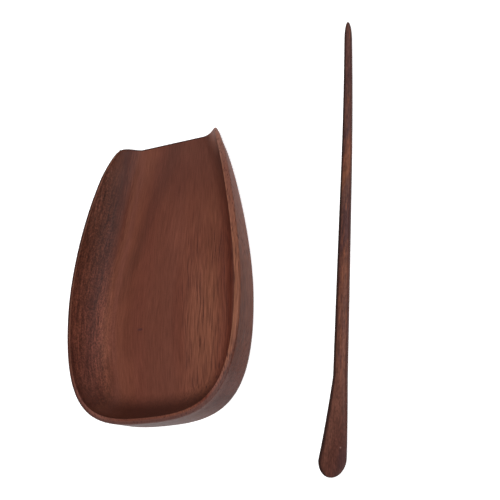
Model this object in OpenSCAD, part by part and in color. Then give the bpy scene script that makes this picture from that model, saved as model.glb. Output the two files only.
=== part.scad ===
// A wooden tea set of two carved pieces: a tea scoop and the slender tea spoon that goes with it.
// The scoop is an egg-shaped tray with a cove all round its floor, open at its narrow end, the spout.
// The spoon is a long tapered stick with a small flat blade at one end and a blunt point at the other.
// Millimetres. +Z is up, +Y points out of the spout, and the origin lies on the table, under the
// middle of the scoop's length.

/* [Scoop outline] */
// Length over all, from the back of the rim to the edge of the spout
scoop_length = 121.4; // [100:0.2:145]
// Width over all, at the widest place
scoop_width = 86.8; // [74:0.2:100]
// Distance from the back to the widest place
widest_from_back = 48.8; // [40:0.2:56]
// Clear width between the two walls at the spout
spout_width = 49.4; // [40:0.2:58]
// Angle at which the walls close in on each other at the spout
spout_closing_angle = 43; // [25:1:50]

/* [Scoop wall] */
// Height of the rim round the back and along the sides
wall_height = 14.6; // [13:0.1:20]
// Height of the two horns, where the rim ends at the spout
horn_height = 8.1; // [6.5:0.1:10]
// Radius that rounds off the end of each horn, seen from the side
horn_round = 1.7; // [0.8:0.1:2.4]
// Width of the rim's top
rim_width = 2.3; // [1.5:0.05:2.6]
// Width of the rim's top at the horns
horn_width = 1.75; // [1.3:0.05:2]
// Fall of the rim's top, from its inner edge to its outer edge
rim_fall = 0.4; // [0:0.05:0.8]
// Radius that softens the inner edge of the rim
inner_soften = 0.25; // [0.1:0.05:0.4]
// Radius that rounds the outer edge of the rim
outer_soften = 1.05; // [0.4:0.05:1.2]
// How far the outside of the wall leans in, from the rim down to the base
wall_lean = 0.6; // [0.1:0.05:1]
// Radius of the rounded edge round the base
base_round = 1.9; // [1.5:0.1:4]
// How far the rounding reaches in under the sides of the spout
spout_round_reach = 8; // [5:0.1:10]
// How high the rounding reaches up the sides of the spout
spout_round_rise = 6.8; // [4:0.1:7]

/* [Scoop hollow] */
// Thickness of the floor at the back
floor_thickness = 3; // [2.4:0.1:4]
// Thickness of the floor at the edge of the spout
lip_thickness = 1.3; // [1.2:0.1:2]
// How far the underside rises towards the edge of the spout
lip_lift = 0.7; // [0:0.05:0.9]
// Length of the rounded edge of the spout
lip_round = 0.8; // [0.4:0.05:1.2]
// How far the cove runs in from the rim at the back
back_cove_run = 13.2; // [10:0.1:16]
// How far the cove runs in from the rim at the sides
side_cove_run = 12.2; // [9:0.1:14]
// How far the cove runs in from the rim at the spout
spout_cove_run = 9.4; // [7:0.1:11]

/* [Spoon] */
// Length over all
spoon_length = 179.6; // [150:0.2:200]
// Width of the handle beside the blade
handle_width = 5.55; // [5:0.05:7]
// Width of the handle near its point
point_width = 2.95; // [2.4:0.05:4.8]
// Width of the blade, at its widest place
blade_width = 11.9; // [9:0.1:14]
// Length of the blade, from its round end to the handle
blade_length = 38; // [28:0.5:50]
// Length of the blade's round end
blade_end_round = 6.8; // [4.5:0.1:8]
// Length of the handle's rounded point
point_round = 7.3; // [4:0.1:10]
// Thickness of the handle
handle_thickness = 3.2; // [2.6:0.1:4.5]
// Thickness of the blade at its round end
blade_thickness = 1.7; // [1.2:0.1:2.4]
// Thickness of the handle near its point
point_thickness = 2.1; // [1.5:0.1:2.6]
// How far the end of the blade curves up off the table
blade_lift = 2; // [0:0.1:4]
// How far the point curves up off the table
point_lift = 2.4; // [0:0.1:4]
// Length of the curved stretch that ends in the point
point_curve_length = 63; // [30:1:70]

/* [Layout] */
// Distance from the scoop's middle line to the middle of the spoon
spoon_aside = 82.8; // [60:0.1:120]
// How far the middle of the spoon lies ahead of the middle of the scoop
spoon_ahead = 4.6; // [-40:0.1:40]
// Turn of the spoon away from the scoop's middle line, clockwise from above
spoon_turn = 2.3; // [-10:0.1:10]

/* [Hidden] */

// Fullness of the outline's curves: each handle's share of the stretch that it bends.
back_bulge_share = 0.63;
side_back_bulge_share = 0.92;
side_front_bulge_share = 0.372;
horn_bulge_share = 0.096;
// The rim keeps its full height over this share of the length, and falls away beyond it. Over the
// same share, the cove passes from its run at the back to its run at the sides.
level_rim_share = 0.175;
rim_fall_power = 3.3;
// The cove starts to narrow towards the spout at this share of the length.
cove_narrowing_share = 0.3;
cove_narrowing_power = 1.6;
// Fullness of the cove and of the rounding under it: 2 is a quarter ellipse, and less is flatter.
body_fullness = 2;
spout_fullness = 1.3;
// The ribs start to turn into the spout's plane at this share of the length.
rib_turn_share = 0.5;
// The rim narrows to the horns over the last share of the length.
horn_taper_share = 0.9;
// The underside starts to rise at this share of the length.
lift_start_share = 0.78;
// The floor's ribs start from the middle line at this share of the length.
rib_start_share = 0.36;
// Share of the blade's extra width that stands out on the side that faces the scoop.
blade_one_side_share = 0.83;
blade_flare_power = 1.1;
handle_taper_power = 1.2;
// Squareness of the spoon's cross-section: 2 is an ellipse, and more is squarer.
spoon_squareness = 2.8;
// The round ends thin out less than they narrow.
end_thinning_power = 0.6;

// How finely the pieces are divided.
back_ribs = 22;
side_ribs = 26;
cove_steps = 9;
edge_steps = 2;
lip_steps = 3;
spoon_rings = 88;
spoon_sides = 20;

// Sizes that follow from those above. The mouth is measured to the inner edge of the rim, and to where
// the edge of the spout starts to round off.
mouth_length = scoop_length - rim_width - lip_round;
mouth_half_width = scoop_width / 2 - rim_width;
mouth_widest = widest_from_back - rim_width;
mouth_back_y = rim_width - scoop_length / 2;
front_run = mouth_length - mouth_widest;

function mix(a, b, share) = a + (b - a) * share;
function clamp_share(share) = min(1, max(0, share));
function share_past(share, start_share) = clamp_share((share - start_share) / (1 - start_share));
function ease(share) = let (s = clamp_share(share)) s * s * (3 - 2 * s);
function unit(v) = v / norm(v);
function bezier(p, t) =
    pow(1 - t, 3) * p[0] + 3 * pow(1 - t, 2) * t * p[1] + 3 * (1 - t) * t * t * p[2] + pow(t, 3) * p[3];
function bezier_slope(p, t) =
    3 * pow(1 - t, 2) * (p[1] - p[0]) + 6 * (1 - t) * t * (p[2] - p[1]) + 3 * t * t * (p[3] - p[2]);

// The right half of the mouth's outline: one curve round the back, and one along the side to the spout.
back_curve = [
    [0, 0],
    [back_bulge_share * mouth_half_width, 0],
    [mouth_half_width, (1 - side_back_bulge_share) * mouth_widest],
    [mouth_half_width, mouth_widest],
];
side_curve = [
    [mouth_half_width, mouth_widest],
    [mouth_half_width, mouth_widest + side_front_bulge_share * front_run],
    [spout_width / 2, mouth_length]
        + horn_bulge_share * front_run * [sin(spout_closing_angle), -cos(spout_closing_angle)],
    [spout_width / 2, mouth_length],
];
rib_count = back_ribs + side_ribs;
function rib_point(i) = i <= back_ribs
    ? bezier(back_curve, i / back_ribs)
    : bezier(side_curve, (i - back_ribs) / side_ribs);
function rib_slope(i) = i <= back_ribs
    ? bezier_slope(back_curve, i / back_ribs)
    : bezier_slope(side_curve, (i - back_ribs) / side_ribs);

// A rib stands square to the outline, and turns into the spout's plane on its way to the spout.
function rib_direction(i) =
    let (slope = unit(rib_slope(i)), square_out = [slope[1], -slope[0]])
    unit(mix(square_out, [1, 0], ease(share_past(rib_point(i)[1] / mouth_length, rib_turn_share))));

// Heights over the table, at a distance y ahead of the mouth's back.
function rim_height(y) =
    let (fallen_share = pow(share_past(y / mouth_length, level_rim_share), rim_fall_power))
    let (past = max(0, y - (mouth_length + lip_round - horn_round)))
    mix(wall_height, horn_height, fallen_share)
        - horn_round + sqrt(max(0, horn_round * horn_round - past * past));
function base_height(y) = lip_lift * pow(share_past(y / mouth_length, lift_start_share), 2);
function floor_height(y) = mix(floor_thickness, lip_lift + lip_thickness, y / mouth_length);

// The cross-section of the scoop's right half on one rib: points [x, y, z] from the floor's middle line up
// the cove, over the rim, down the outside and back to the middle line under the floor. Its first half and
// its second half have as many points, so the two faces of the shell pair up. Ahead moves it forward.
function rib(i, ahead) =
    let (edge = rib_point(i), out = rib_direction(i), along = edge[1] / mouth_length)
    let (body_run = mix(back_cove_run, side_cove_run, ease(along / level_rim_share)))
    let (narrowed_share = pow(share_past(along, cove_narrowing_share), cove_narrowing_power))
    let (run = mix(body_run, spout_cove_run, narrowed_share))
    let (reach = mix(base_round, spout_round_reach, along))
    let (rise = mix(base_round, spout_round_rise, along))
    let (power = 2 / mix(body_fullness, spout_fullness, along))
    let (width = mix(rim_width, horn_width, ease(share_past(along, horn_taper_share))))
    let (cove_foot = edge - run * out, floor = floor_height(cove_foot[1]))
    let (middle_share = (cove_foot[1] - back_cove_run) / (mouth_length - back_cove_run))
    let (middle_y = mix(rib_start_share, 1, clamp_share(middle_share)) * mouth_length)
    let (top = rim_height(edge[1] + ahead), under = base_height(edge[1]))
    let (inner_top = top - inner_soften, outer_top = top - rim_fall - outer_soften)
    let (round_top = min(under + rise, outer_top), wall_foot = width - wall_lean)
    let (section = concat(
        [for (k = [0:cove_steps]) let (a = 90 * (1 - k / cove_steps))
            [-run * (1 - pow(cos(a), power)), mix(inner_top, floor, pow(sin(a), power))]],
        [for (k = [1:edge_steps]) let (a = 90 * k / edge_steps)
            [inner_soften * (1 - cos(a)), inner_top + inner_soften * sin(a)]],
        [for (k = [0:edge_steps]) let (a = 90 * k / edge_steps)
            [width - outer_soften * (1 - sin(a)), outer_top + outer_soften * cos(a)]],
        [for (k = [1:cove_steps]) let (a = 90 * (k - 1) / (cove_steps - 1))
            [wall_foot - reach * (1 - pow(cos(a), power)), mix(round_top, under, pow(sin(a), power))]]
    ))
    concat(
        [[0, middle_y + ahead, floor_height(middle_y)]],
        [for (p = section) [edge[0] + p[0] * out[0], edge[1] + p[0] * out[1] + ahead, p[1]]],
        [[0, middle_y + ahead, base_height(middle_y)]]
    );

// The spout's edge is round: the two faces of the last rib draw together as it moves ahead.
function lip_rib(step) =
    let (a = 90 * step / lip_steps, last = rib(rib_count, lip_round * sin(a)), end = len(last) - 1)
    [for (k = [0:end]) mix((last[k] + last[end - k]) / 2, last[k], cos(a))];

// All ribs of the scoop, from the left horn round the back to the right horn.
right_ribs = concat([for (i = [0:rib_count]) rib(i, 0)], [for (step = [1:lip_steps]) lip_rib(step)]);
side_rows = len(right_ribs) - 1;
rib_points = len(right_ribs[0]);
function mirrored(points) = [for (p = points) [-p[0], p[1], p[2]]];
scoop_points = [
    for (row = [-side_rows:side_rows])
        for (p = row < 0 ? mirrored(right_ribs[-row]) : right_ribs[row]) p + [0, mouth_back_y, 0],
];
// The number of a point. Both sides share the middle lines, and the two faces share the spout's very edge.
function scoop_index(row, k) =
    let (on_middle = k == 0 || k == rib_points - 1, at_edge = abs(row) == side_rows)
    let (shared_row = on_middle ? abs(row) : row, shared_k = at_edge ? min(k, rib_points - 1 - k) : k)
    (shared_row + side_rows) * rib_points + shared_k;
// Each four-sided patch is cut in two, the left half as a mirror of the right, and the outside of the
// inside, so that no triangle lies along a middle line.
scoop_faces = [
    for (row = [-side_rows:side_rows - 1])
        for (k = [0:rib_points - 2])
            let (a = scoop_index(row, k), b = scoop_index(row + 1, k))
            let (c = scoop_index(row + 1, k + 1), d = scoop_index(row, k + 1))
            let (on_left = row < 0, on_outside = k >= rib_points / 2)
            for (face = on_left == on_outside ? [[a, b, c], [a, c, d]] : [[a, b, d], [b, c, d]])
                if (face[0] != face[1] && face[1] != face[2] && face[2] != face[0]) face,
];

// The spoon lies along Y with the round end of its blade at zero, seen from above.
function spoon_half_width(y) =
    let (handle_share = share_past(y / spoon_length, blade_length / spoon_length))
    let (handle = mix(handle_width, point_width, pow(handle_share, handle_taper_power)))
    let (flare = pow(clamp_share((blade_length - y) / (blade_length - blade_end_round)), blade_flare_power))
    mix(handle, blade_width, flare) / 2;
// The round ends: a share of the full width that falls to nothing at both ends.
function end_share(y) =
    let (blade_past = max(0, blade_end_round - y) / blade_end_round)
    let (point_past = max(0, y - (spoon_length - point_round)) / point_round)
    sqrt(max(0, 1 - pow(max(blade_past, point_past), 2)));
function spoon_thickness(y) =
    y < blade_length
        ? mix(blade_thickness, handle_thickness, ease(y / blade_length))
        : mix(handle_thickness, point_thickness, pow((y - blade_length) / (spoon_length - blade_length), 2));
// The blade stands out more on one side, and both ends curve up off the table.
function spoon_side_shift(y) = (handle_width / 2 - max(handle_width / 2, spoon_half_width(y)))
    * (2 * blade_one_side_share - 1);
function spoon_lift(y) =
    blade_lift * pow(clamp_share(1 - y / blade_length), 2)
        + point_lift * pow(clamp_share(1 - (spoon_length - y) / point_curve_length), 2);

// One ring round the spoon: a squared ellipse that stands on the spoon's underside.
function signed_power(v, power) = sign(v) * pow(abs(v), power);
function spoon_ring(y) =
    let (half_width = spoon_half_width(y) * end_share(y), thickness = spoon_thickness(y))
    let (half_height = thickness / 2 * pow(end_share(y), end_thinning_power))
    [for (k = [0:spoon_sides - 1]) let (a = 360 * k / spoon_sides) [
        spoon_side_shift(y) + half_width * signed_power(cos(a), 2 / spoon_squareness),
        y,
        spoon_lift(y) + thickness / 2 + half_height * signed_power(sin(a), 2 / spoon_squareness),
    ]];
// Rings lie closer together towards both ends.
function ring_place(j) = spoon_length * (1 - cos(180 * j / (spoon_rings + 1))) / 2;
spoon_tips = [for (y = [0, spoon_length]) [spoon_side_shift(y), y, spoon_lift(y) + spoon_thickness(y) / 2]];
spoon_points = concat(spoon_tips, [for (j = [1:spoon_rings]) each spoon_ring(ring_place(j))]);
function spoon_index(j, k) = len(spoon_tips) + (j - 1) * spoon_sides + k % spoon_sides;
spoon_faces = [
    for (k = [0:spoon_sides - 1]) each concat(
        [[0, spoon_index(1, k + 1), spoon_index(1, k)]],
        [for (j = [1:spoon_rings - 1]) each [
            [spoon_index(j, k), spoon_index(j + 1, k + 1), spoon_index(j + 1, k)],
            [spoon_index(j, k), spoon_index(j, k + 1), spoon_index(j + 1, k + 1)],
        ]],
        [[1, spoon_index(spoon_rings, k), spoon_index(spoon_rings, k + 1)]]
    ),
];

// The scoop, carved from one block of walnut.
module tea_scoop() {
    color("#6b4030")
        polyhedron(scoop_points, scoop_faces);
}

// The spoon, shaved from one stick of the same wood.
module tea_spoon() {
    color("#5e3b30")
        translate([spoon_aside, spoon_ahead, 0])
            rotate([0, 0, -spoon_turn])
                translate([0, -spoon_length / 2, 0])
                    polyhedron(spoon_points, spoon_faces);
}

tea_scoop();
tea_spoon();
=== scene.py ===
# %% [markdown]
# A tea scoop and a tea spoon, carved from walnut.
#
# The set is two loose pieces. The scoop is an egg-shaped tray that holds a portion of dry tea and
# pours it over its open end, the spout. The spoon is a long tapered stick with a small flat blade.
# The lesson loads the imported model, which is the fixed frame for everything here, and then makes a
# finer mesh, a wood and a plain studio round it.

# %% Load the fixed frame
import math
import bpy
import bmesh
import numpy as np
from mathutils import Matrix, Vector


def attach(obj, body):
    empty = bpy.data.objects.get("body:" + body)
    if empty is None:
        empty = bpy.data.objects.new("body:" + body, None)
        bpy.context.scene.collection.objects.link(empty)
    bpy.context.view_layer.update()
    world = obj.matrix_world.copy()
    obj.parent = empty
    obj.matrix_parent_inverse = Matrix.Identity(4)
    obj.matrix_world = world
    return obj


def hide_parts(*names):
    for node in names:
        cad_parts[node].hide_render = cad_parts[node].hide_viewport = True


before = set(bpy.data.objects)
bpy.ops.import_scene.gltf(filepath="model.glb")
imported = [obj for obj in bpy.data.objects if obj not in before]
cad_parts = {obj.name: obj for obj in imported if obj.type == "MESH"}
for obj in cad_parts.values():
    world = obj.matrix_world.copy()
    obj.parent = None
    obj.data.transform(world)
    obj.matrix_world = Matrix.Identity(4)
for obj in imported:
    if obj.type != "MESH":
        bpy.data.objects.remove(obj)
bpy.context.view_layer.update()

# %% [markdown]
# Units and colours.
#
# A carver works in millimetres and Blender in metres, so one value turns the first into the
# second. Colours are written as the eye meets them, in sRGB hex, and one function turns them into
# the linear light that shaders add up.

# %% Units and colours
MM = 0.001


def linear(hex_colour):
    """An sRGB hex colour as linear red, green and blue, with a full alpha."""
    shares = [int(hex_colour[i:i + 2], 16) / 255 for i in (1, 3, 5)]
    return [s / 12.92 if s <= 0.04045 else ((s + 0.055) / 1.055) ** 2.4 for s in shares] + [1.0]


print("A mid walnut in linear light:", [round(c, 3) for c in linear("#6f4636")])

# %% [markdown]
# The camera.
#
# The photograph looks down on the table from the spoon's side, with the scoop's spout pointing up
# in the picture. The three angles say where the camera stands and how it is rolled. They were
# found by laying the outlines of both pieces over the photograph. The picture is 200 mm wide at
# the table, seen from a little over half a metre.

# %% The camera
LOOK_FROM_UPRIGHT = math.radians(36.717)
LOOK_TURN = math.radians(-28.042)
CAMERA_ROLL = math.radians(-66.195)
LOOK_AT = Vector((38.776, 7.967, 0)) * MM
CAMERA_DISTANCE = 545.45 * MM
PICTURE_WIDTH = 200 * MM
SENSOR_WIDTH = 36

towards_camera = Vector((
    math.sin(LOOK_FROM_UPRIGHT) * math.cos(LOOK_TURN),
    math.sin(LOOK_FROM_UPRIGHT) * math.sin(LOOK_TURN),
    math.cos(LOOK_FROM_UPRIGHT),
))
level = Vector((-math.sin(LOOK_TURN), math.cos(LOOK_TURN), 0))
steep = towards_camera.cross(level)
right = math.cos(CAMERA_ROLL) * level + math.sin(CAMERA_ROLL) * steep
up = towards_camera.cross(right)

camera = bpy.data.objects.new("camera", bpy.data.cameras.new("camera"))
bpy.context.scene.collection.objects.link(camera)
camera.data.sensor_width = SENSOR_WIDTH
camera.data.lens = SENSOR_WIDTH * CAMERA_DISTANCE / PICTURE_WIDTH
turned = Matrix((right, up, towards_camera)).transposed().to_4x4()
camera.matrix_world = Matrix.Translation(LOOK_AT + towards_camera * CAMERA_DISTANCE) @ turned
bpy.context.scene.camera = camera
print("Lens in millimetres:", round(camera.data.lens, 2))

# %% [markdown]
# The scoop's sizes.
#
# On the real scoop one rule gives the whole form. A cutter follows the mouth's outline, and at
# every place it leaves the same section: a cove up to the rim, a narrow rim, and an outside that is
# rounded under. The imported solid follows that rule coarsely. A smooth tray could also be pulled by
# hand out of a few faces, but the same sizes in the same rule give a finer mesh that fits the solid
# all round, apart from its softer horns.

# %% The scoop's sizes, in millimetres
scoop_length, scoop_width, widest_from_back = 121.4, 86.8, 48.8
spout_width, spout_closing_angle = 49.4, math.radians(43)
wall_height, horn_height, horn_round = 14.6, 8.1, 1.7
rim_width, horn_width, rim_fall = 2.3, 1.75, 0.4
inner_soften, outer_soften, wall_lean = 0.25, 1.05, 0.6
base_round, spout_round_reach, spout_round_rise = 1.9, 8, 6.8
floor_thickness, lip_thickness, lip_lift, lip_round = 3, 1.3, 0.7, 0.8
back_cove_run, side_cove_run, spout_cove_run = 13.2, 12.2, 9.4
# At a horn, the width and depth over which the rim's inner edge is softened, and the corner's
# rounding in plan.
horn_soften, horn_drop = 0.55, 0.8
corner_round, corner_width = 3.2, 1.3

mouth_length = scoop_length - rim_width - lip_round
mouth_half_width = scoop_width / 2 - rim_width
mouth_widest = widest_from_back - rim_width
mouth_back_y = rim_width - scoop_length / 2
front_run = mouth_length - mouth_widest
print("The mouth in millimetres:", round(2 * mouth_half_width, 1), "by", round(mouth_length, 1))

# %% The scoop's shares
# How full the outline's curves are: each handle's share of the stretch that it bends.
back_bulge_share, side_back_bulge_share = 0.63, 0.92
side_front_bulge_share, horn_bulge_share = 0.372, 0.096
# Where along the mouth's length each change starts.
level_rim_share, cove_narrowing_share, rib_turn_share = 0.175, 0.3, 0.5
horn_taper_share, horn_tip_share, lift_start_share, rib_start_share = 0.9, 0.92, 0.78, 0.36
# How fast the rim falls and the cove narrows.
rim_fall_power, cove_narrowing_power = 3.3, 1.6
# How full the cove is, and the rounding under it: 2 is a quarter ellipse, and less is flatter.
body_fullness, spout_fullness = 2, 1.3

# %% Small sums that the shapes share
def mix(a, b, share):
    """A value on the way from a to b."""
    return a + (b - a) * share


def clamp(share):
    """A share kept between 0 and 1."""
    return min(1.0, max(0.0, share))


def past(share, start):
    """How far a share has gone past its start, from 0 there to 1 at the end."""
    return clamp((share - start) / (1 - start))


def ease(share):
    """A share that starts and ends gently."""
    share = clamp(share)
    return share * share * (3 - 2 * share)


print("A quarter of the way, eased:", ease(0.25))


# %% The mouth's outline
def curve(points, t):
    """A cubic curve's point and slope."""
    a, b, c, d = (np.array(p, float) for p in points)
    s = 1 - t
    place = s ** 3 * a + 3 * s * s * t * b + 3 * s * t * t * c + t ** 3 * d
    slope = 3 * s * s * (b - a) + 6 * s * t * (c - b) + 3 * t * t * (d - c)
    return place, slope


closing = np.array([math.sin(spout_closing_angle), -math.cos(spout_closing_angle)])
back_curve = [
    [0, 0],
    [back_bulge_share * mouth_half_width, 0],
    [mouth_half_width, (1 - side_back_bulge_share) * mouth_widest],
    [mouth_half_width, mouth_widest],
]
side_curve = [
    [mouth_half_width, mouth_widest],
    [mouth_half_width, mouth_widest + side_front_bulge_share * front_run],
    [spout_width / 2, mouth_length] + horn_bulge_share * front_run * closing,
    [spout_width / 2, mouth_length],
]
half_way, _ = curve(side_curve, 0.5)
print("The mouth's side curve passes, in mm:", [round(c, 1) for c in half_way])


# %% Heights over the table, y ahead of the mouth's back
def rim_height(y):
    beyond = max(0.0, y - (mouth_length + lip_round - horn_round))
    rounded = horn_round - math.sqrt(max(0.0, horn_round ** 2 - beyond ** 2))
    fallen = past(y / mouth_length, level_rim_share) ** rim_fall_power
    return mix(wall_height, horn_height, fallen) - rounded


def base_height(y):
    return lip_lift * past(y / mouth_length, lift_start_share) ** 2


def floor_height(y):
    return mix(floor_thickness, lip_lift + lip_thickness, y / mouth_length)


rim_heights = [round(rim_height(y), 1) for y in (0, mouth_length - horn_round)]
print("The rim's height at the back and at the horns in mm:", rim_heights)

# %% [markdown]
# The scoop's ribs.
#
# The mesh is laid up like a boat: ribs stand all round the mouth's outline, each one the section at
# its place, and skin joins each rib to the next. Only the right half is worked out. The left half
# is its mirror image.

# %% Where the ribs stand
COVE_STEPS, EDGE_STEPS, LIP_STEPS = 24, 6, 8
BACK_RIBS, SIDE_RIBS = 66, 104
LAST_RIB = BACK_RIBS + SIDE_RIBS


def rib_place(i):
    """Where rib i meets the mouth's outline, and its way outwards from there."""
    if i <= BACK_RIBS:
        edge, slope = curve(back_curve, i / BACK_RIBS)
    else:
        edge, slope = curve(side_curve, (i - BACK_RIBS) / SIDE_RIBS)
    slope = slope / np.linalg.norm(slope)
    square_out, spout_out = np.array([slope[1], -slope[0]]), np.array([1.0, 0.0])
    out = mix(square_out, spout_out, ease(past(edge[1] / mouth_length, rib_turn_share)))
    return edge, out / np.linalg.norm(out)


print("The last rib stands, in mm:", [round(c, 1) for c in rib_place(LAST_RIB)[0]])

# %% One rib of the scoop
quarter = math.pi / 2


def rib(i, ahead=0.0):
    """The section's right half at rib i, from the floor's middle line over the rim and back."""
    edge, out = rib_place(i)
    along = edge[1] / mouth_length

    # How wide and how deep each part of the section is at this rib.
    body_run = mix(back_cove_run, side_cove_run, ease(along / level_rim_share))
    narrowed = past(along, cove_narrowing_share) ** cove_narrowing_power
    run = mix(body_run, spout_cove_run, narrowed)
    width = mix(rim_width, horn_width, ease(past(along, horn_taper_share)))
    corner = clamp((edge[1] + ahead - mouth_length - lip_round + corner_round) / corner_round)
    pulled_in = (width - corner_width) * (1 - math.sqrt(1 - corner ** 2))
    tip = ease(past(along, horn_tip_share))
    soften, drop = mix(inner_soften, horn_soften, tip), mix(inner_soften, horn_drop, tip)
    outer = mix(outer_soften, horn_width - horn_soften, tip)
    reach = mix(base_round, spout_round_reach, along)
    rise = mix(base_round, spout_round_rise, along)
    power = 2 / mix(body_fullness, spout_fullness, along)

    # Where the cove ends on the floor, and the heights of the section's corners.
    foot = edge - run * out
    floor = floor_height(foot[1])
    middle_share = clamp((foot[1] - back_cove_run) / (mouth_length - back_cove_run))
    middle_y = mix(rib_start_share, 1, middle_share) * mouth_length
    top, under = rim_height(edge[1] + ahead), base_height(edge[1])
    inner_top, outer_top = top - drop, top - mix(rim_fall, 0, tip) - outer
    round_top = min(under + rise, outer_top)

    # The cove, the rim's inner edge, its outer edge, and the outside: places outwards, and heights.
    section = []
    for k in range(COVE_STEPS + 1):
        a = quarter * (1 - k / COVE_STEPS)
        across = -run * (1 - math.cos(a) ** power)
        section.append((across, mix(inner_top, floor, math.sin(a) ** power)))
    for k in range(1, EDGE_STEPS + 1):
        a = quarter * k / EDGE_STEPS
        section.append((soften * (1 - math.cos(a)), inner_top + drop * math.sin(a)))
    for k in range(EDGE_STEPS + 1):
        a = quarter * k / EDGE_STEPS
        across = max(soften, width - pulled_in - outer * (1 - math.sin(a)))
        section.append((across, outer_top + outer * math.cos(a)))
    for k in range(COVE_STEPS):
        a = quarter * k / (COVE_STEPS - 1)
        tucked_under = reach * (1 - max(0.0, math.cos(a)) ** power)
        across = width - wall_lean - pulled_in * math.cos(a) ** 2 - tucked_under
        section.append((across, mix(round_top, under, math.sin(a) ** power)))
    points = [(0, middle_y + ahead, floor_height(middle_y))]
    points += [(edge[0] + p * out[0], edge[1] + p * out[1] + ahead, z) for p, z in section]
    points += [(0, middle_y + ahead, base_height(middle_y))]
    return np.array(points)


# %% All ribs of the right half
def lip_rib(step):
    """The spout's edge: the two faces of the last rib draw together as it moves ahead."""
    a = quarter * step / LIP_STEPS
    last = rib(LAST_RIB, lip_round * math.sin(a))
    return mix((last + last[::-1]) / 2, last, max(0.0, math.cos(a)))


right_half = [rib(i) for i in range(LAST_RIB + 1)]
right_half += [lip_rib(step) for step in range(1, LIP_STEPS + 1)]
right_half = np.array(right_half) + [0, mouth_back_y, 0]
rows, per_rib = len(right_half) - 1, len(right_half[0])
print("Ribs and points in the right half:", rows + 1, "by", per_rib)

# %% [markdown]
# The horns, rounded by hand.
#
# A carver rounds the two horns last, with a knife, and no two come out alike. Just under each tip
# the spout's edge bulges ahead by about a millimetre. The left horn is the rounder one: its tip
# also falls and turns inwards. The right one stands out a little more. A rule for that would be
# longer than a table, so a table moves the points near the spout's edge.

# %% The horns
# Each row is a distance from the scoop's middle line, and the bulge there on the left and on the
# right, in mm. It grows from nothing at the horn's start to its full size at the spout's end.
# The turn inwards grows over the horn's own stretch of wall, further and further aside.
HORN_START, SPOUT_END = 48, scoop_length / 2
TURN_START, TURN_END = 20, 25
horn_bulges = [
    (0, 0, 0), (16.4, 0.1, -0.1), (17.3, 0.2, -0.1), (18.2, 0.34, -0.08), (19, 0.5, -0.05),
    (20, 0.7, 0.05), (21, 0.88, 0.28), (22, 1.02, 0.6), (23.5, 1.08, 1), (24.4, 0.92, 0.95),
    (25, 0.42, 0.25), (25.6, 0, -0.1), (26.2, 0, -0.1),
]
bulge_at, left_bulge, right_bulge = zip(*horn_bulges)


def between(values, start, end):
    """How far each value has come from start to end, from 0 to 1."""
    return np.clip((values - start) / (end - start), 0, 1)


def round_horn(half, bulge, fall, turn_in):
    """Rounds the horn of one half, ever more towards the spout's edge. All sizes are in mm."""
    aside, ahead, height = np.moveaxis(half, 2, 0)
    near_end = between(ahead, HORN_START, SPOUT_END) ** 2
    moved = np.array([
        -turn_in * between(aside, TURN_START, TURN_END),
        np.interp(aside, bulge_at, bulge),
        -fall * between(height, lip_thickness, horn_height),
    ])
    return half + np.moveaxis(near_end * moved, 0, 2)


left_half = round_horn(right_half, left_bulge, fall=0.82, turn_in=0.55)
left_half = (left_half * [-1, 1, 1])[:0:-1]
right_half = round_horn(right_half, right_bulge, fall=0, turn_in=-0.25)
scoop_points = np.concatenate([left_half, right_half]).reshape(-1, 3) * MM
print("The scoop's length with its horns in mm:", round(np.ptp(scoop_points[:, 1]) / MM, 1))


# %% The scoop's faces
def scoop_index(row, k):
    """The number of a point. Both halves share the middle lines, both faces the spout's edge."""
    if k in (0, per_rib - 1):
        row = abs(row)
    if abs(row) == rows:
        k = min(k, per_rib - 1 - k)
    return (row + rows) * per_rib + k


scoop_faces = []
for row in range(-rows, rows):
    for k in range(per_rib - 1):
        corners = [(row, k), (row, k + 1), (row + 1, k + 1), (row + 1, k)]
        scoop_faces.append(list(dict.fromkeys(scoop_index(*corner) for corner in corners)))
print("Faces between the ribs:", len(scoop_faces))


# %% From points and faces to a piece
def piece_from(mesh):
    """A piece at the origin, with unused points left out and its faces pointing outwards."""
    shape = bmesh.new()
    shape.from_mesh(mesh)
    bmesh.ops.delete(shape, geom=[v for v in shape.verts if not v.link_faces], context="VERTS")
    if shape.calc_volume(signed=True) < 0:
        bmesh.ops.reverse_faces(shape, faces=shape.faces)
    volume, open_edges = shape.calc_volume() * 1e6, sum(not e.is_manifold for e in shape.edges)
    print(mesh.name, "has", round(volume, 2), "ml and", open_edges, "open edges")
    shape.to_mesh(mesh)
    shape.free()
    piece = bpy.data.objects.new(mesh.name, mesh)
    bpy.context.scene.collection.objects.link(piece)
    return piece


def make_piece(name, points, faces, shares=()):
    """A smooth piece from its points and faces. Named shares mark its points."""
    mesh = bpy.data.meshes.new(name)
    mesh.from_pydata([tuple(p) for p in points], [], faces)
    for share_name, values in dict(shares).items():
        mesh.attributes.new(share_name, "FLOAT", "POINT").data.foreach_set("value", values)
    mesh.polygons.foreach_set("use_smooth", [True] * len(mesh.polygons))
    return piece_from(mesh)


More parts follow.
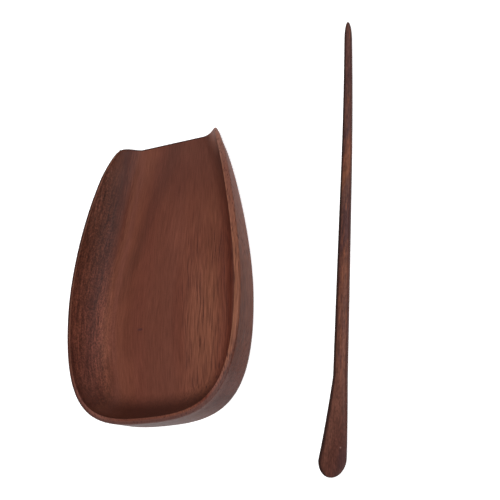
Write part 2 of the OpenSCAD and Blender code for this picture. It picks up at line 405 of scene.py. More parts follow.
# %% The scoop
# Three marks on the points, so that wear and painted light can be drawn later: the rim's top, the
# way outwards over it, which is 0 up to the rim's inner edge, a half at its outer edge and 1 on the
# outside, and the rounded edge of the spout.
RIM_INNER, RIM_OUTER = COVE_STEPS + EDGE_STEPS + 1, COVE_STEPS + EDGE_STEPS + 2
all_rows = range(-rows, rows + 1)
on_rim, outside = [], []
for k in range(per_rib):
    on_rim.append(float(RIM_INNER - EDGE_STEPS < k <= RIM_OUTER + EDGE_STEPS))
    outside.append(clamp(0.5 + 0.5 * (k - RIM_OUTER) / EDGE_STEPS) if k > RIM_INNER else 0.0)
on_edge = [float(abs(row) > rows - LIP_STEPS) for row in all_rows for k in range(per_rib)]
scoop = make_piece("carved_scoop", scoop_points, scoop_faces, {
    "rim_share": on_rim * len(all_rows),
    "outside_share": outside * len(all_rows),
    "edge_share": on_edge,
})
print("The scoop has", len(scoop.data.polygons), "faces")

# %% [markdown]
# The spoon, grown by a rule.
#
# A spoon like this is shaved from a stick: each slice is a squared oval, and only its width,
# thickness and height over the table change along the length. That is a rule, so a Geometry Nodes
# tree makes it: a flat grid is rolled up, one line of the grid for each slice. The tree's inputs
# are the sizes a carver would measure. Nodes that only do sums are easier to read as a written
# list than as a drawing, so the rule is a list, and one small function turns its lines into nodes.
# The two woods are written the same way further on.

# %% Two helpers for every node tree
def add(tree, kind, inputs=(), give=0, **settings):
    """Adds one node with its settings and links, and returns the output that is asked for."""
    node = tree.nodes.new(kind)
    for name, value in settings.items():
        setattr(node, name, value)
    for key, value in inputs.items() if isinstance(inputs, dict) else enumerate(inputs):
        if isinstance(value, bpy.types.NodeSocket):
            tree.links.new(value, node.inputs[key])
        else:
            node.inputs[key].default_value = value
    return node.outputs[give] if node.outputs else node


# Each line of a rule has the result's name, the sum, and what goes into it: numbers, hex colours,
# or the names of earlier results. Most sums are those of Blender's maths node. This table has the
# others, each with its node, the numbers of its inputs and of its output, and its settings. Ease is
# a soft step between two values. Paint lays one colour over another, and tint multiplies the two.
# Where a pattern takes several nodes, a function stands in the sum's place.
OTHER_SUMS = {
    "MIX": ("ShaderNodeMix", (0, 2, 3), 0, {"data_type": "FLOAT"}),
    "EASE": ("ShaderNodeMapRange", (0, 1, 2, 3, 4), 0, {"interpolation_type": "SMOOTHSTEP"}),
    "JOIN": ("ShaderNodeCombineXYZ", (0, 1, 2), 0, {}),
    "PAINT": ("ShaderNodeMix", (0, 6, 7), 2, {"data_type": "RGBA"}),
    "TINT": ("ShaderNodeMix", (0, 6, 7), 2, {"data_type": "RGBA", "blend_type": "MULTIPLY"}),
}


def value_of(part, found):
    """What a part of a line stands for."""
    if not isinstance(part, str):
        return part
    return linear(part) if part.startswith("#") else found[part]


def follow(tree, rule, found):
    """Works out a rule line by line, and keeps each result under its name."""
    for name, kind, *parts in rule:
        values = [value_of(part, found) for part in parts]
        if callable(kind):
            found[name] = kind(tree, *values)
        elif kind in OTHER_SUMS:
            node, numbers, give, settings = OTHER_SUMS[kind]
            found[name] = add(tree, node, dict(zip(numbers, values)), give, **settings)
        else:
            operation, _, clamped = kind.partition(" ")
            found[name] = add(
                tree, "ShaderNodeMath", values, operation=operation, use_clamp=bool(clamped))


print("Sums that Blender's maths node doesn't do:", ", ".join(OTHER_SUMS))

# %% The spoon's sizes, as the tree's inputs
spoon_sizes = {
    "Length": 179.58 * MM,
    "Handle Width": 5.75 * MM,
    "Point Width": 2.92 * MM,
    "Blade Width": 11.89 * MM,
    "Blade Length": 38 * MM,
    "Blade End Round": 6.8 * MM,
    "Point Round": 7.3 * MM,
    "Handle Thickness": 3.2 * MM,
    "Blade Thickness": 1.7 * MM,
    "Point Thickness": 2.1 * MM,
    "Blade Lift": 2 * MM,
    "Point Lift": 2.4 * MM,
    "Point Curve Length": 63 * MM,
    "One Side Share": 0.83,
    "Squareness": 2.8,
}
# How fast the handle tapers, the blade flares and both ends grow thin: 1 is steady.
TAPER_POWER, FLARE_POWER, END_THIN_POWER = 1.2, 1.07, 0.6
SPOON_SLICES, SPOON_SIDES = 260, 48
SPOON_WELD = 0.001 * MM
spoon_aside, spoon_ahead, spoon_turn = 82.8 * MM, 4.6 * MM, math.radians(2.3)

# %% The spoon's rule
spoon_rule = [
    # Slices lie closer together towards both ends.
    ("along", "ADD", "grid x", 0.5),
    ("half turn", "MULTIPLY", "along", math.pi),
    ("cosine", "COSINE", "half turn"),
    ("spread", "MULTIPLY_ADD", "cosine", -0.5, 0.5),
    ("y", "MULTIPLY", "spread", "Length"),
    ("middle y", "MULTIPLY_ADD", "Length", -0.5, "y"),
    ("to point", "SUBTRACT", "Length", "y"),
    ("to handle", "SUBTRACT", "Blade Length", "y"),
    # The width: a tapered handle, and a blade that flares from it.
    ("handle length", "SUBTRACT", "Length", "Blade Length"),
    ("past blade", "MULTIPLY", "to handle", -1),
    ("handle share", "DIVIDE CLAMPED", "past blade", "handle length"),
    ("handle taper", "POWER", "handle share", TAPER_POWER),
    ("handle", "MIX", "handle taper", "Handle Width", "Point Width"),
    ("flare length", "SUBTRACT", "Blade Length", "Blade End Round"),
    ("flare share", "DIVIDE CLAMPED", "to handle", "flare length"),
    ("flare", "POWER", "flare share", FLARE_POWER),
    ("width", "MIX", "flare", "handle", "Blade Width"),
    # Both ends are round: the width falls to nothing there.
    ("blade left", "SUBTRACT", "Blade End Round", "y"),
    ("blade past", "DIVIDE CLAMPED", "blade left", "Blade End Round"),
    ("point left", "SUBTRACT", "Point Round", "to point"),
    ("point past", "DIVIDE CLAMPED", "point left", "Point Round"),
    ("end past", "MAXIMUM", "blade past", "point past"),
    ("end squared", "MULTIPLY", "end past", "end past"),
    ("end fall", "SUBTRACT CLAMPED", 1, "end squared"),
    ("end share", "SQRT", "end fall"),
    # The thickness.
    ("blade share", "DIVIDE CLAMPED", "y", "Blade Length"),
    ("blade ease", "EASE", "blade share"),
    ("blade thick", "MIX", "blade ease", "Blade Thickness", "Handle Thickness"),
    ("handle squared", "MULTIPLY", "handle share", "handle share"),
    ("thickness", "MIX", "handle squared", "blade thick", "Point Thickness"),
    # Both ends curve up off the table.
    ("blade rise", "SUBTRACT CLAMPED", 1, "blade share"),
    ("blade rise squared", "POWER", "blade rise", 2),
    ("point share", "DIVIDE CLAMPED", "to point", "Point Curve Length"),
    ("point rise", "SUBTRACT CLAMPED", 1, "point share"),
    ("point rise squared", "POWER", "point rise", 2),
    ("point up", "MULTIPLY", "point rise squared", "Point Lift"),
    ("lift", "MULTIPLY_ADD", "blade rise squared", "Blade Lift", "point up"),
    # The blade stands out more on one side.
    ("extra width", "SUBTRACT", "Handle Width", "width"),
    ("flare only", "MINIMUM", "extra width", 0),
    ("lean", "SUBTRACT", "One Side Share", 0.5),
    ("side shift", "MULTIPLY", "flare only", "lean"),
    # Round each slice: a squared oval that stands on the spoon's underside.
    ("corner", "DIVIDE", 2, "Squareness"),
    ("around", "ADD", "grid y", 0.5),
    ("turn", "MULTIPLY", "around", 2 * math.pi),
    ("sideways", "COSINE", "turn"),
    ("sideways sign", "SIGN", "sideways"),
    ("sideways size", "ABSOLUTE", "sideways"),
    ("sideways square", "POWER", "sideways size", "corner"),
    ("sideways share", "MULTIPLY", "sideways square", "sideways sign"),
    ("upwards", "SINE", "turn"),
    ("upwards sign", "SIGN", "upwards"),
    ("upwards size", "ABSOLUTE", "upwards"),
    ("upwards square", "POWER", "upwards size", "corner"),
    ("upwards share", "MULTIPLY", "upwards square", "upwards sign"),
    ("slice width", "MULTIPLY", "width", "end share"),
    ("half slice", "MULTIPLY", "slice width", 0.5),
    ("x", "MULTIPLY_ADD", "sideways share", "half slice", "side shift"),
    ("end thin", "POWER", "end share", END_THIN_POWER),
    ("thin share", "MULTIPLY_ADD", "end thin", "upwards share", 1),
    ("half thickness", "MULTIPLY", "thickness", 0.5),
    ("z", "MULTIPLY_ADD", "half thickness", "thin share", "lift"),
    ("shaved", "JOIN", "x", "middle y", "z"),
]
print("Lines in the spoon's rule:", len(spoon_rule))

# %% The spoon's node tree
tree = bpy.data.node_groups.new("shave_a_spoon", "GeometryNodeTree")
tree.interface.new_socket("Spoon", in_out="OUTPUT", socket_type="NodeSocketGeometry")
inputs = {name: "NodeSocketFloat" for name in spoon_sizes}
inputs |= {"Slices": "NodeSocketInt", "Wood": "NodeSocketMaterial"}
sockets = {
    name: tree.interface.new_socket(name, in_out="INPUT", socket_type=socket_type)
    for name, socket_type in inputs.items()
}
given = tree.nodes.new("NodeGroupInput").outputs

grid = add(tree, "GeometryNodeMeshGrid", {
    "Size X": 1.0, "Size Y": 1.0, "Vertices X": given["Slices"], "Vertices Y": SPOON_SIDES + 1,
}, give="Mesh")
place = add(tree, "GeometryNodeInputPosition")
apart = add(tree, "ShaderNodeSeparateXYZ", [place]).node.outputs
found = {name: given[name] for name in spoon_sizes}
found |= {"grid x": apart["X"], "grid y": apart["Y"]}
follow(tree, spoon_rule, found)

rolled = add(tree, "GeometryNodeSetPosition", {"Geometry": grid, "Position": found["shaved"]})
laid = add(tree, "GeometryNodeTransform", {
    "Geometry": rolled,
    "Translation": (spoon_aside, spoon_ahead, 0), "Rotation": (0, 0, -spoon_turn),
})
closed = add(tree, "GeometryNodeMergeByDistance", {"Geometry": laid, "Distance": SPOON_WELD})
smooth = add(tree, "GeometryNodeSetShadeSmooth", {"Geometry": closed})
real = add(tree, "GeometryNodeRealizeInstances", {"Geometry": smooth})
finished = add(tree, "GeometryNodeSetMaterial", {"Geometry": real, "Material": given["Wood"]})
add(tree, "NodeGroupOutput", {"Spoon": finished})
print("The spoon's tree has", len(tree.nodes), "nodes")

# %% [markdown]
# Walnut, worked out in millimetres.
#
# The real wood is black walnut: carved, sanded smooth along the grain and oiled. Its figure is a
# stack of year rings cut open by the blade, so it is drawn in three dimensions, and runs through
# the wall to the outside and underneath as it does in a real block. A flat picture of wood would
# smear on the steep walls. Both pieces share the fine part: fibres, pores and the oil's soft gloss.
# Each has broad bands of its own. Its rule first finds the place on the rings, then lays the
# bands' colours, and then marks and wear over them.

# %% A wood's coordinates
def start_wood(name, turn=0.0, centre=(0, 0, 0)):
    """A new material, its tree, and what its rules start from, in mm with y along the grain."""
    material = bpy.data.materials.new(name)
    material.use_nodes = True
    wood = material.node_tree
    coordinates = add(wood, "ShaderNodeTexCoord").node.outputs
    moved = add(wood, "ShaderNodeMapping", {
        "Vector": coordinates["Object"],
        "Location": [-c / MM for c in centre], "Scale": [1 / MM] * 3,
    })
    place = add(wood, "ShaderNodeMapping", {"Vector": moved, "Rotation": (0, 0, turn)})
    apart = add(wood, "ShaderNodeSeparateXYZ", [place]).node.outputs
    facing = add(wood, "ShaderNodeSeparateXYZ", [coordinates["Normal"]]).node.outputs
    return material, wood, {
        "place": place, "x": apart["X"], "y": apart["Y"], "z": apart["Z"],
        "facing x": facing["X"], "facing y": facing["Y"],
    }


# %% Patterns that the woods' rules ask for
# Streaks and cells take a place, then their width and length in mm. Streaks then take a seed, and
# how many finer layers of noise they have.
def product(tree, *factors):
    """All factors times each other."""
    total = factors[0]
    for factor in factors[1:]:
        total = add(tree, "ShaderNodeMath", [total, factor], operation="MULTIPLY")
    return total


def streaks(tree, place, wide, long, seed=0.0, detail=2.0):
    """Noise drawn out along the grain, in streaks about as wide and as long as said."""
    counted = add(tree, "ShaderNodeVectorMath", [place, (wide, long, wide)], operation="DIVIDE")
    return add(tree, "ShaderNodeTexNoise", {
        "Vector": counted, "W": seed, "Scale": 1.0, "Detail": detail, "Roughness": 0.6,
    }, give="Fac", noise_dimensions="4D")


def cells(tree, place, wide, long, uneven=1.0):
    """The distance to the nearest of many points, one in each cell as wide and as long as said."""
    counted = add(tree, "ShaderNodeVectorMath", [place, (wide, long, wide)], operation="DIVIDE")
    return add(tree, "ShaderNodeTexVoronoi", {
        "Vector": counted, "Scale": 1.0, "Randomness": uneven,
    }, give="Distance")


def spot(tree, place, centre, half_size):
    """A soft oval spot: 1 at its centre, and 0 outside its half sizes."""
    offset = add(tree, "ShaderNodeVectorMath", [place, centre], operation="SUBTRACT")
    offset = add(tree, "ShaderNodeVectorMath", [offset, half_size], operation="DIVIDE")
    from_centre = add(tree, "ShaderNodeVectorMath", [offset], give="Value", operation="LENGTH")
    return add(tree, "ShaderNodeMapRange", [from_centre, 1, 0.3], interpolation_type="SMOOTHSTEP")


def spotted(tree, colour, place, spots):
    """A colour with soft spots on it, each with its centre, half sizes, strength and colour."""
    painted = {"colour": colour, "place": place}
    for centre, half_size, strength, hex_colour in spots:
        follow(tree, [
            ("spot", spot, "place", centre, half_size),
            ("share", "MULTIPLY", "spot", strength),
            ("colour", "PAINT", "share", "colour", hex_colour),
        ], painted)
    return painted["colour"]


def bands(tree, place, half_width, stops):
    """The colours of the rings, at places in mm from one side of the wood to the other."""
    shares = [(at + half_width) / (2 * half_width) for at, hex_colour in stops]
    counted = add(
        tree, "ShaderNodeMath", [place, 0.5 / half_width, 0.5], operation="MULTIPLY_ADD")
    colours = add(tree, "ShaderNodeValToRGB", [counted]).node
    elements = colours.color_ramp.elements
    colours.color_ramp.interpolation = "EASE"
    for share in shares[2:]:
        elements.new(share)
    for element, share, (at, hex_colour) in zip(elements, shares, stops):
        element.position, element.color = share, linear(hex_colour)
    return colours.outputs["Color"]


# %% Fibres, pores and oil, shared by both pieces
# Walnut's pores are open tubes 0.1 to 0.2 mm wide. That is too fine to show in a picture of the
# whole set, so they are drawn 0.25 mm wide, and 8 mm long where the blade ran along them.
PORE_WIDE, PORE_LONG, PORE_GAP = 0.25, 8, 2
FIBRE_WIDE, BUNDLE_WIDE, BUNDLE_LONG = 0.42, 1.6, 30
ROUGH, ROUGH_CHANGE, ROUGH_IN_PORES = 0.55, 0.05, 0.2
OIL_IOR, OIL_SHEEN = 1.5, 0.14


def finish_wood(wood, found, fibre_long, figure):
    """Adds fibres and pores to the colour, and ends in the oiled surface."""
    follow(wood, [
        ("bundles", streaks, "grain", BUNDLE_WIDE, BUNDLE_LONG, 4),
        ("bundle tone", "EASE", "bundles", 0.25, 0.75, 1 - figure, 1 + figure),
        ("colour", "TINT", 1, "colour", "bundle tone"),
        ("fibres", streaks, "grain", FIBRE_WIDE, fibre_long, 0, 3),
        ("fibre tone", "EASE", "fibres", 0.25, 0.75, 0.8, 1.18),
        ("colour", "TINT", 1, "colour", "fibre tone"),
        ("from pore", cells, "grain", PORE_WIDE * PORE_GAP, PORE_LONG * PORE_GAP),
        ("tubes", "EASE", "from pore", 0.75 / PORE_GAP, 0.35 / PORE_GAP),
        ("pores", "MULTIPLY", "tubes", "open share"),
        ("colour", "PAINT", "pores", "colour", "#371b1a"),
        # The eye tells oiled wood from varnish by its gloss, which is soft, broken by the grain,
        # and dull in the pores.
        ("gloss", "EASE", "bundles", 0.3, 0.7, ROUGH - ROUGH_CHANGE, ROUGH + ROUGH_CHANGE),
        ("roughness", "MULTIPLY_ADD", "pores", ROUGH_IN_PORES, "gloss"),
        ("height", "MULTIPLY_ADD", "pores", -1.5, "fibres"),
    ], found)
    bumps = add(wood, "ShaderNodeBump", {
        "Strength": 0.35, "Distance": 0.03 * MM, "Height": found["height"]})
    shader = wood.nodes["Principled BSDF"]
    shader.inputs["IOR"].default_value = OIL_IOR
    shader.inputs["Specular IOR Level"].default_value = OIL_SHEEN
    wood.links.new(found["colour"], shader.inputs["Base Color"])
    wood.links.new(found["roughness"], shader.inputs["Roughness"])
    wood.links.new(bumps, shader.inputs["Normal"])
    return shader


# %% [markdown]
# The scoop's bands.
#
# The scoop's block was cut so that the rings stand nearly upright. On the left they bow outwards
# with the wall, and hold one dark grey-brown streak with a light orange band beside it. On the
# right they run straight and turn lighter. The back cove cuts across the fibres. Such end grain
# drinks more oil, so it looks darker, and that darkening also holds painted shade.

# %% The rings' course across the scoop
# The rings lean outwards with height and wander a little to either side. The shift lays them where
# this block has them.
walnut, wood, found = start_wood("oiled_walnut")
for mark in ("rim_share", "outside_share", "edge_share"):
    found[mark] = add(wood, "ShaderNodeAttribute", attribute_name=mark, give="Fac")

HALF_BLOCK = 45
BOW_CENTRE, BOW_LENGTH, BOW_DEPTH = -17, 25, 7.8
RING_LEAN, RING_WANDER, RING_SHIFT = 0.25, 4, -2.8
follow(wood, [
    ("from bow", "MULTIPLY_ADD", "y", 1 / BOW_LENGTH, -BOW_CENTRE / BOW_LENGTH),
    ("bow square", "MULTIPLY_ADD", "from bow", "from bow", 1),
    ("bow root", "SQRT", "bow square"),
    ("bow", "MULTIPLY_ADD", "bow root", BOW_DEPTH, -BOW_DEPTH),
    ("bowed share", "MULTIPLY_ADD CLAMPED", "x", -1 / HALF_BLOCK, 0.45),
    ("bowed by", "MULTIPLY", "bow", "bowed share"),
    ("straightened", "SUBTRACT", "x", "bowed by"),
    ("leaning", "MULTIPLY_ADD", "z", RING_LEAN, "straightened"),
    ("shifted", "ADD", "leaning", RING_SHIFT),
    ("wander", streaks, "place", 14, 40),
    ("across", "MULTIPLY_ADD", "wander", RING_WANDER, "shifted"),
    ("grain", "JOIN", "across", "y", "z"),
], found)
print("Nodes that find the place on the rings:", len(wood.nodes))

# %% The rings' colours
scoop_bands = [
    (-45, "#7a4d3f"), (-41, "#552e22"), (-37, "#44231c"), (-34, "#562e24"), (-31, "#683c2e"),
    (-28, "#6a3d31"), (-24, "#693b2d"), (-20, "#633629"), (-15, "#65372b"), (-6, "#64382c"),
    (2, "#663a2e"), (9, "#6e3f31"), (15, "#714233"), (22, "#714232"), (28, "#68382b"),
    (32, "#5e2e22"), (36, "#74473d"), (45, "#734432"),
]
follow(wood, [
    # The bands have ragged edges, most of all on the left.
    ("left share", "EASE", "across", -22, -32),
    ("fray", "MULTIPLY_ADD", "left share", 6, 2),
    ("ragged", streaks, "grain", 0.6, 4, 5, 3),
    ("ragged both ways", "SUBTRACT", "ragged", 0.5),
    ("frayed", "MULTIPLY_ADD", "ragged both ways", "fray", "across"),
    ("colour", bands, "frayed", HALF_BLOCK, scoop_bands),
    # Towards the spout the right half of the inside turns duller.
    ("inside", "SUBTRACT", 1, "outside_share"),
    ("near spout", "EASE", "y", 8, 48),
    ("right half", "EASE", "across", -2, 12),
    ("dull", product, "near spout", "right half", "inside", 0.85),
    ("colour", "PAINT", "dull", "colour", "#5c3227"),
    # A soft dark shadow leaves the left streak half way along the floor, and drifts to the middle
    # of the spout.
    ("drift slope", "MULTIPLY_ADD", "y", 0.002, 0.2),
    ("drift", "MULTIPLY_ADD", "drift slope", "y", -24),
    ("aside of drift", "SUBTRACT", "frayed", "drift"),
    ("from shadow", "ABSOLUTE", "aside of drift"),
    ("shadow half width", "MULTIPLY_ADD", "y", 0.1, 4.5),
    ("in shadow", "EASE", "from shadow", "shadow half width", 0),
    ("shadow start", "EASE", "y", -14, 14),
    ("shadow", "MULTIPLY", "in shadow", "shadow start"),
    ("colour", "TINT", "shadow", "colour", "#e2e5ea"),
    # Towards the spout all of it turns greyer.
    ("spout end", "EASE", "y", 28, 58, 0, 0.25),
    ("off left wall", "EASE", "across", -37, -31),
    ("greyer", "MULTIPLY", "spout end", "off left wall"),
    ("colour", "PAINT", "greyer", "colour", "#5c3d37"),
], found)
# Soft clouds follow the rings. An orange one lies beside the shadow, a brown one ends the dark
# streak at the back, a pale one inside the right horn is a painted highlight, and the others are
# faint.
clouds = [
    ((-23, 58, 2), (9, 16, 30), 0.3, "#7e4b3a"), ((-31, -39, 4), (6, 13, 30), 0.5, "#482318"),
    ((27, 60, 6), (9, 12, 30), 0.5, "#94604f"), ((19, -20, 3), (13, 26, 30), 0.3, "#84523e"),
    ((19, 13, 3), (14, 13, 30), 0.3, "#5b2e23"), ((6, -18, 3), (5, 32, 30), 0.35, "#56291f"),
    ((0, 44, 2), (12, 12, 30), 0.35, "#532c24"), ((-20, -38, 3), (7, 12, 30), 0.3, "#7a4636"),
    ((2, 20, 2), (9, 10, 30), 0.3, "#774537"), ((-39, -46, 10), (7, 14, 30), 0.35, "#6f4033"),
]
found["colour"] = spotted(wood, found["colour"], found["grain"], clouds)
print("Bands and clouds in the scoop's wood:", len(scoop_bands), "and", len(clouds))

# %% Flecks, end grain and painted cove shade
# The steep left wall cuts the pores open, and shows them as rows of dark and light flecks, each
# about as wide as a pore.
FLECK_WIDE, FLECK_LONG = 0.24, 0.18
follow(wood, [
    ("left wall", "EASE", "x", -22, -30),
    ("over floor", "EASE", "z", 1.5, 4.5),
    ("off back", "EASE", "y", -54, -34, 0.4, 1),
    ("steep left", product, "left wall", "over floor", "off back"),
    ("from fleck", cells, "grain", FLECK_WIDE, FLECK_LONG, 0.7),
    ("even flecks", "EASE", "from fleck", 0.2, 0.6, 0.55, 1.2),
    ("loose noise", streaks, "grain", 0.6, 0.9, 9),
    ("loose flecks", "EASE", "loose noise", 0.3, 0.7, 0.62, 1.36),
    ("row noise", streaks, "grain", 0.9, 16, 3),
    ("rows of flecks", "EASE", "row noise", 0.3, 0.7, 0.72, 1.3),
    # Towards the back the wall is lighter, most of all near the rim.
    ("near rim", "EASE", "across", -37, -41),
    ("wall tone", "EASE", "y", -10, 35, 1.2, 0.8),
    ("rim tone", "EASE", "y", -40, 25, 1.9, 0.72),
    ("tone", "MIX", "near rim", "wall tone", "rim tone"),
    ("flecked", product, "even flecks", "loose flecks", "rows of flecks", "tone"),
    ("colour", "TINT", "steep left", "colour", "flecked"),
    # The gouge leaves the hollow's end grain rougher than the outside, so it drinks the most oil.
    # This darkening is also painted shade, strongest low in the back cove.
    ("across fibres", "ABSOLUTE", "facing y"),
    ("end grain", "EASE", "across fibres", 0.05, 0.6),
    ("low down", "EASE", "z", 5, 12, 1, 0.55),
    ("gouged", "MULTIPLY_ADD", "outside_share", -0.62, 0.75),
    ("oiled dark", product, "end grain", "low down", "gouged"),
    ("colour", "TINT", "oiled dark", "colour", "#84706b"),
], found)
print("Nodes with the bands, flecks and end grain:", len(wood.nodes))

# %% Marks and wear
# A pin knot, a short dark gum line and a small nick on the rim: the marks that this very block has.
marks = [
    ((-13.3, -19.1, 2.7), (1.9, 0.8, 3), 0.6, "#42262a"),
    ((17.2, -28, 2.8), (0.4, 4, 3), 1, "#351614"),
    ((37.3, -44.3, 14), (0.7, 1.4, 1), 0.8, "#38271c"),
]
found["colour"] = spotted(wood, found["colour"], found["place"], marks)
follow(wood, [
    # The rim's top is lighter, as wear from hands and as a painted highlight, most of all along its
    # inner edge.
    ("inner edge", "EASE", "outside_share", 0.3, 0.05, 0.16, 0.45),
    ("off back", "EASE", "y", -55, -28),
    ("off left", "EASE", "x", -30, -10, 0.35, 1),
    ("worn", product, "rim_share", "inner edge", "off back", "off left"),
    ("colour", "PAINT", "worn", "colour", "#96644d"),
    # At the back the rim is pale, and the outside just under it gets a painted grey sheen.
    ("back rim", spot, "place", (-27, -50, 14), (24, 18, 9)),
    ("pale rim", product, "back rim", "rim_share", 0.5),
    ("colour", "PAINT", "pale rim", "colour", "#7f544a"),
    ("past rim", "EASE", "outside_share", 0.25, 0.7),
    ("at back", "EASE", "y", -36, -50, 0, 0.85),
    ("right of corner", "EASE", "x", -33, -24),
    ("under rim", "EASE", "z", 10, 13),
    ("bloom", product, "past rim", "at back", "right of corner", "under rim"),
    ("colour", "PAINT", "bloom", "colour", "#8a6861"),
    # The right horn's tip is painted grey and pale, inside and over the rim, as a painted highlight.
    ("tip", spot, "place", (23.5, 62, 7), (6, 8, 7)),
    ("grey tip", "MULTIPLY", "tip", 0.5),
    ("colour", "PAINT", "grey tip", "colour", "#94706a"),
    ("behind tip", spot, "place", (29, 53, 8), (9, 17, 10)),
    ("rim or outside", "MAXIMUM", "rim_share", "outside_share"),
    ("pale behind tip", product, "behind tip", "rim or outside", 0.2),
    ("colour", "PAINT", "pale behind tip", "colour", "#b08a7e"),
    # The outside is painted greyer than the inside, as painted shade and a painted grey sheen, and
    # darkest at the back, just under the rim.
    ("to front", "EASE", "y", -35, 40),
    ("outer shade", "PAINT", "to front", "#c4b0aa", "#f8f2f0"),
    ("high up", "EASE", "z", 5, 12, 0, 0.5),
    ("outer shade", "TINT", "high up", "outer shade", "#c4b4b0"),
    ("sooner at back", "EASE", "y", -20, -50, 0, 0.35),
    ("outward", "ADD", "outside_share", "sooner at back"),
    ("on outside", "EASE", "outward", 0.6, 1),
    ("colour", "TINT", "on outside", "colour", "outer shade"),
], found)
print("Marks on the scoop:", len(marks))

# %% Dark edges, long pores and the finish
follow(wood, [
    # On the left the rim's outer edge is painted darker as a red-brown line, painted shade where its
    # rounding turns from the light. Round the back it fades away. The spout's edge has a dark line
    # too, apart from the right horn's tip.
    ("leftward", "MULTIPLY_ADD", "y", -0.35, "x"),
    ("dark on left", "EASE", "leftward", -15, -40, 0.05, 0.72),
    ("far back", "EASE", "y", -25, -45, 0, 0.15),
    ("right side", "EASE", "x", -8, 8),
    ("dark at back", "MULTIPLY", "far back", "right side"),
    ("dark somewhere", "MAXIMUM", "dark on left", "dark at back"),
    ("outer edge", "EASE", "outside_share", 0.12, 0.3),
    ("darkened", product, "dark somewhere", "outer edge", "rim_share"),
    ("low", "EASE", "z", 6, 4),
    ("left side", "EASE", "x", 0, -10),
    ("below tip", "MAXIMUM", "low", "left side"),
    ("spout edge", product, "edge_share", "below tip", 0.9),
    ("dark edges", "MAXIMUM", "darkened", "spout edge"),
    ("colour", "PAINT", "dark edges", "colour", "#3c1a17"),
    # On the right the blade ran along the pores, so the floor shows them as long fine lines.
    ("right floor", "EASE", "across", 2, 14),
    ("away from spout", "EASE", "y", 35, 10),
    ("long pores", "MULTIPLY", "right floor", "away from spout"),
    ("line noise", streaks, "grain", 0.4, 9, 13),
    ("lines", "EASE", "line noise", 0.35, 0.65, 0.78, 1.16),
    ("colour", "TINT", "long pores", "colour", "lines"),
    ("pores or rim", "MAXIMUM", "long pores", "rim_share"),
    ("open share", "MULTIPLY_ADD", "pores or rim", 0.68, 0.1),
    # Handled and oil-soaked places have a little more sheen.
    ("soaked", "MULTIPLY", "end grain", 1.8),
    ("handled", "MAXIMUM", "outside_share", "soaked"),
    ("sheen", "MULTIPLY_ADD", "handled", 0.09, OIL_SHEEN),
], found)
shader = finish_wood(wood, found, fibre_long=6, figure=0.05)
wood.links.new(found["sheen"], shader.inputs["Specular IOR Level"])
scoop.data.materials.append(walnut)
print("The scoop's wood has", len(wood.nodes), "nodes")

# %% [markdown]
# The spoon's patches.
#
# The spoon is a stick of darker walnut from a wavy part of the board. The blade passed in and out
# of the waves, so dark grey-brown and orange-brown patches follow each other along the handle,
# drawn out into streaks.

# %% The patches along the spoon
dark_walnut, wood, found = start_wood(
    "oiled_dark_walnut", turn=spoon_turn, centre=(spoon_aside, spoon_ahead, 0))
found |= {"grain": found["place"], "open share": 0.3}
HALF_STICK = 90
WAVE_SLANT, WAVE_DEPTH = -3, 12
spoon_patches = [
    (-90, "#452722"), (-78, "#4e2c24"), (-66, "#59352b"), (-50, "#5f3b30"), (-30, "#5e3a2f"),
    (-20, "#6b4132"), (-10, "#613b2f"), (-2, "#4c302e"), (10, "#482f2c"), (17, "#583a32"),
    (26, "#734834"), (33, "#6c4233"), (41, "#48312f"), (52, "#593a32"), (62, "#4b312e"),
    (76, "#523630"), (90, "#523630"),
]
follow(wood, [
    ("slanting", "MULTIPLY_ADD", "x", WAVE_SLANT, "y"),
    ("centred", "ADD", "slanting", -WAVE_DEPTH / 2),
    ("waves", streaks, "grain", 2.6, 14, 2),
    ("wavy", "MULTIPLY_ADD", "waves", WAVE_DEPTH, "centred"),
    ("colour", bands, "wavy", HALF_STICK, spoon_patches),
], found)
print("Patches along the spoon:", len(spoon_patches) - 1)

# %% The spoon's streaks and edges
# A dark cloud near the blade's end, and one pale speck beside it.
blade_marks = [
    ((2.9, -83.5, 2.6), (3.2, 6.5, 9), 0.5, "#3a2425"),
    ((1.6, -78.9, 2.9), (0.45, 0.45, 2), 0.35, "#a8837a"),
]
follow(wood, [
    # The handle is streaked along its grain.
    ("on handle", "EASE", "y", -58, -42),
    ("dark noise", streaks, "grain", 0.9, 7, 7, 3),
    ("dark streaks", "EASE", "dark noise", 0.5, 0.7, 0, 0.75),
    ("dark share", "MULTIPLY", "dark streaks", "on handle"),
    ("colour", "PAINT", "dark share", "colour", "#3e2628"),
    ("light noise", streaks, "grain", 0.7, 6, 11, 3),
    ("light streaks", "EASE", "light noise", 0.5, 0.72, 0, 0.6),
    ("light share", "MULTIPLY", "light streaks", "on handle"),
    ("colour", "PAINT", "light share", "colour", "#875039"),
    # The blade was cut across the waves, and is flecked.
    ("fleck noise", streaks, "grain", 0.5, 1.3, 21),
    ("flecks", "EASE", "fleck noise", 0.3, 0.7, 0.74, 1.28),
    ("colour", "TINT", 1, "colour", "flecks"),
    ("blotch noise", streaks, "grain", 1.8, 4, 25),
    ("blotches", "EASE", "blotch noise", 0.3, 0.7, 0.84, 1.16),
    ("colour", "TINT", 1, "colour", "blotches"),
    ("colour", spotted, "colour", "place", blade_marks),
    # The narrow sides are painted dark as painted shade, and edge the spoon with dark lines: a wide
    # one on the side that faces the scoop, and a thin red-brown one on the other.
    ("facing scoop", "EASE", "facing x", -0.04, -0.2, 0, 0.9),
    ("colour", "PAINT", "facing scoop", "colour", "#261512"),
    ("facing away", "EASE", "facing x", 0.5, 0.95, 0, 0.6),
    ("colour", "PAINT", "facing away", "colour", "#3a1c18"),
], found)
finish_wood(wood, found, fibre_long=18, figure=0.13)
print("The spoon's wood has", len(wood.nodes), "nodes")

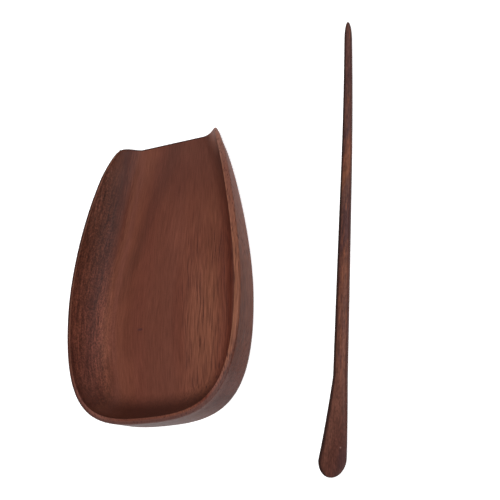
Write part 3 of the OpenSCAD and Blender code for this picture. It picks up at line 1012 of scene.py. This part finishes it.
# %% Grow the spoon
carrier = bpy.data.objects.new("spoon_carrier", bpy.data.meshes.new("spoon_carrier"))
bpy.context.scene.collection.objects.link(carrier)
grow = carrier.modifiers.new("grow", "NODES")
grow.node_group = tree
for name, value in spoon_sizes.items():
    grow[sockets[name].identifier] = value
grow[sockets["Slices"].identifier] = SPOON_SLICES
grow[sockets["Wood"].identifier] = dark_walnut
bpy.context.view_layer.update()
evaluated = carrier.evaluated_get(bpy.context.evaluated_depsgraph_get())
grown = bpy.data.meshes.new_from_object(evaluated)
bpy.data.objects.remove(carrier)
grown.name = "shaved_spoon"
spoon = piece_from(grown)
print("The spoon has", len(spoon.data.polygons), "faces")

# %% [markdown]
# Table and light.
#
# The photograph is a plain studio picture on white, lit by one broad soft light overhead. The
# table is a matt white sheet. It also shows white to the camera and in reflections, through the
# Light Path, so that the ground stays white while the object's own shadow still falls on it.

# %% The table
# Half the sheet's side in metres, and how brightly it shows its white, where 1 is full white.
HALF_TABLE, SHEET_GLOW = 3, 0.7
table = make_piece("table", [
    (x * HALF_TABLE, y * HALF_TABLE, 0) for x, y in ((-1, -1), (1, -1), (1, 1), (-1, 1))
], [[0, 1, 2, 3]])
sheet = bpy.data.materials.new("white_sheet")
sheet.use_nodes = True
nodes = sheet.node_tree
nodes.nodes.clear()
found = {output.name: output for output in add(nodes, "ShaderNodeLightPath").node.outputs}
follow(nodes, [
    ("seen", "MAXIMUM", "Is Camera Ray", "Is Glossy Ray"),
    ("seen", "MAXIMUM", "seen", "Is Transmission Ray"),
    ("glow strength", "MULTIPLY", "seen", SHEET_GLOW),
], found)
matt = add(nodes, "ShaderNodeBsdfDiffuse", {"Color": linear("#e8e8e8")})
glow = add(nodes, "ShaderNodeEmission", {"Strength": found["glow strength"]})
both = add(nodes, "ShaderNodeAddShader", [matt, glow])
add(nodes, "ShaderNodeOutputMaterial", {"Surface": both})
table.data.materials.append(sheet)

# %% The light
WORLD_STRENGTH = 0.03
world = bpy.data.worlds.new("studio")
bpy.context.scene.world = world
world.use_nodes = True
background = world.node_tree.nodes["Background"]
background.inputs["Color"].default_value = linear("#ffffff")
background.inputs["Strength"].default_value = WORLD_STRENGTH

# The key light hangs overhead, a little behind the scoop. The fills stand low, past the spout and
# behind the scoop's back. Each has its turn and lean in degrees, and its watts. All aim at the
# middle of the set, from the same distance in metres.
SOFTBOX_SIZE, SOFTBOX_DISTANCE, SET_MIDDLE = 1.0, 1.2, (0.04, 0, 0)
softboxes = [
    ("key_softbox", -35, 24, 17.8),
    ("spout_softbox", 50, 75, 4.4),
    ("back_softbox", -95, 75, 2.2),
]
for name, turn, lean, watts in softboxes:
    softbox = bpy.data.objects.new(name, bpy.data.lights.new(name, "AREA"))
    softbox.data.shape = "SQUARE"
    softbox.data.size = SOFTBOX_SIZE
    softbox.data.energy = watts
    turned = Matrix.Rotation(math.radians(turn), 4, "Z")
    leaned = Matrix.Rotation(math.radians(lean), 4, "Y")
    pulled_back = Matrix.Translation((0, 0, SOFTBOX_DISTANCE))
    softbox.matrix_world = Matrix.Translation(SET_MIDDLE) @ turned @ leaned @ pulled_back
    bpy.context.scene.collection.objects.link(softbox)
    softbox.visible_glossy = name == "key_softbox"
bpy.context.scene.view_settings.view_transform = "Standard"
print("Softboxes:", len(softboxes))

# %% Hand over
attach(scoop, "scoop")
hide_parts("tea_scoop")
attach(spoon, "spoon")
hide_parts("tea_spoon")
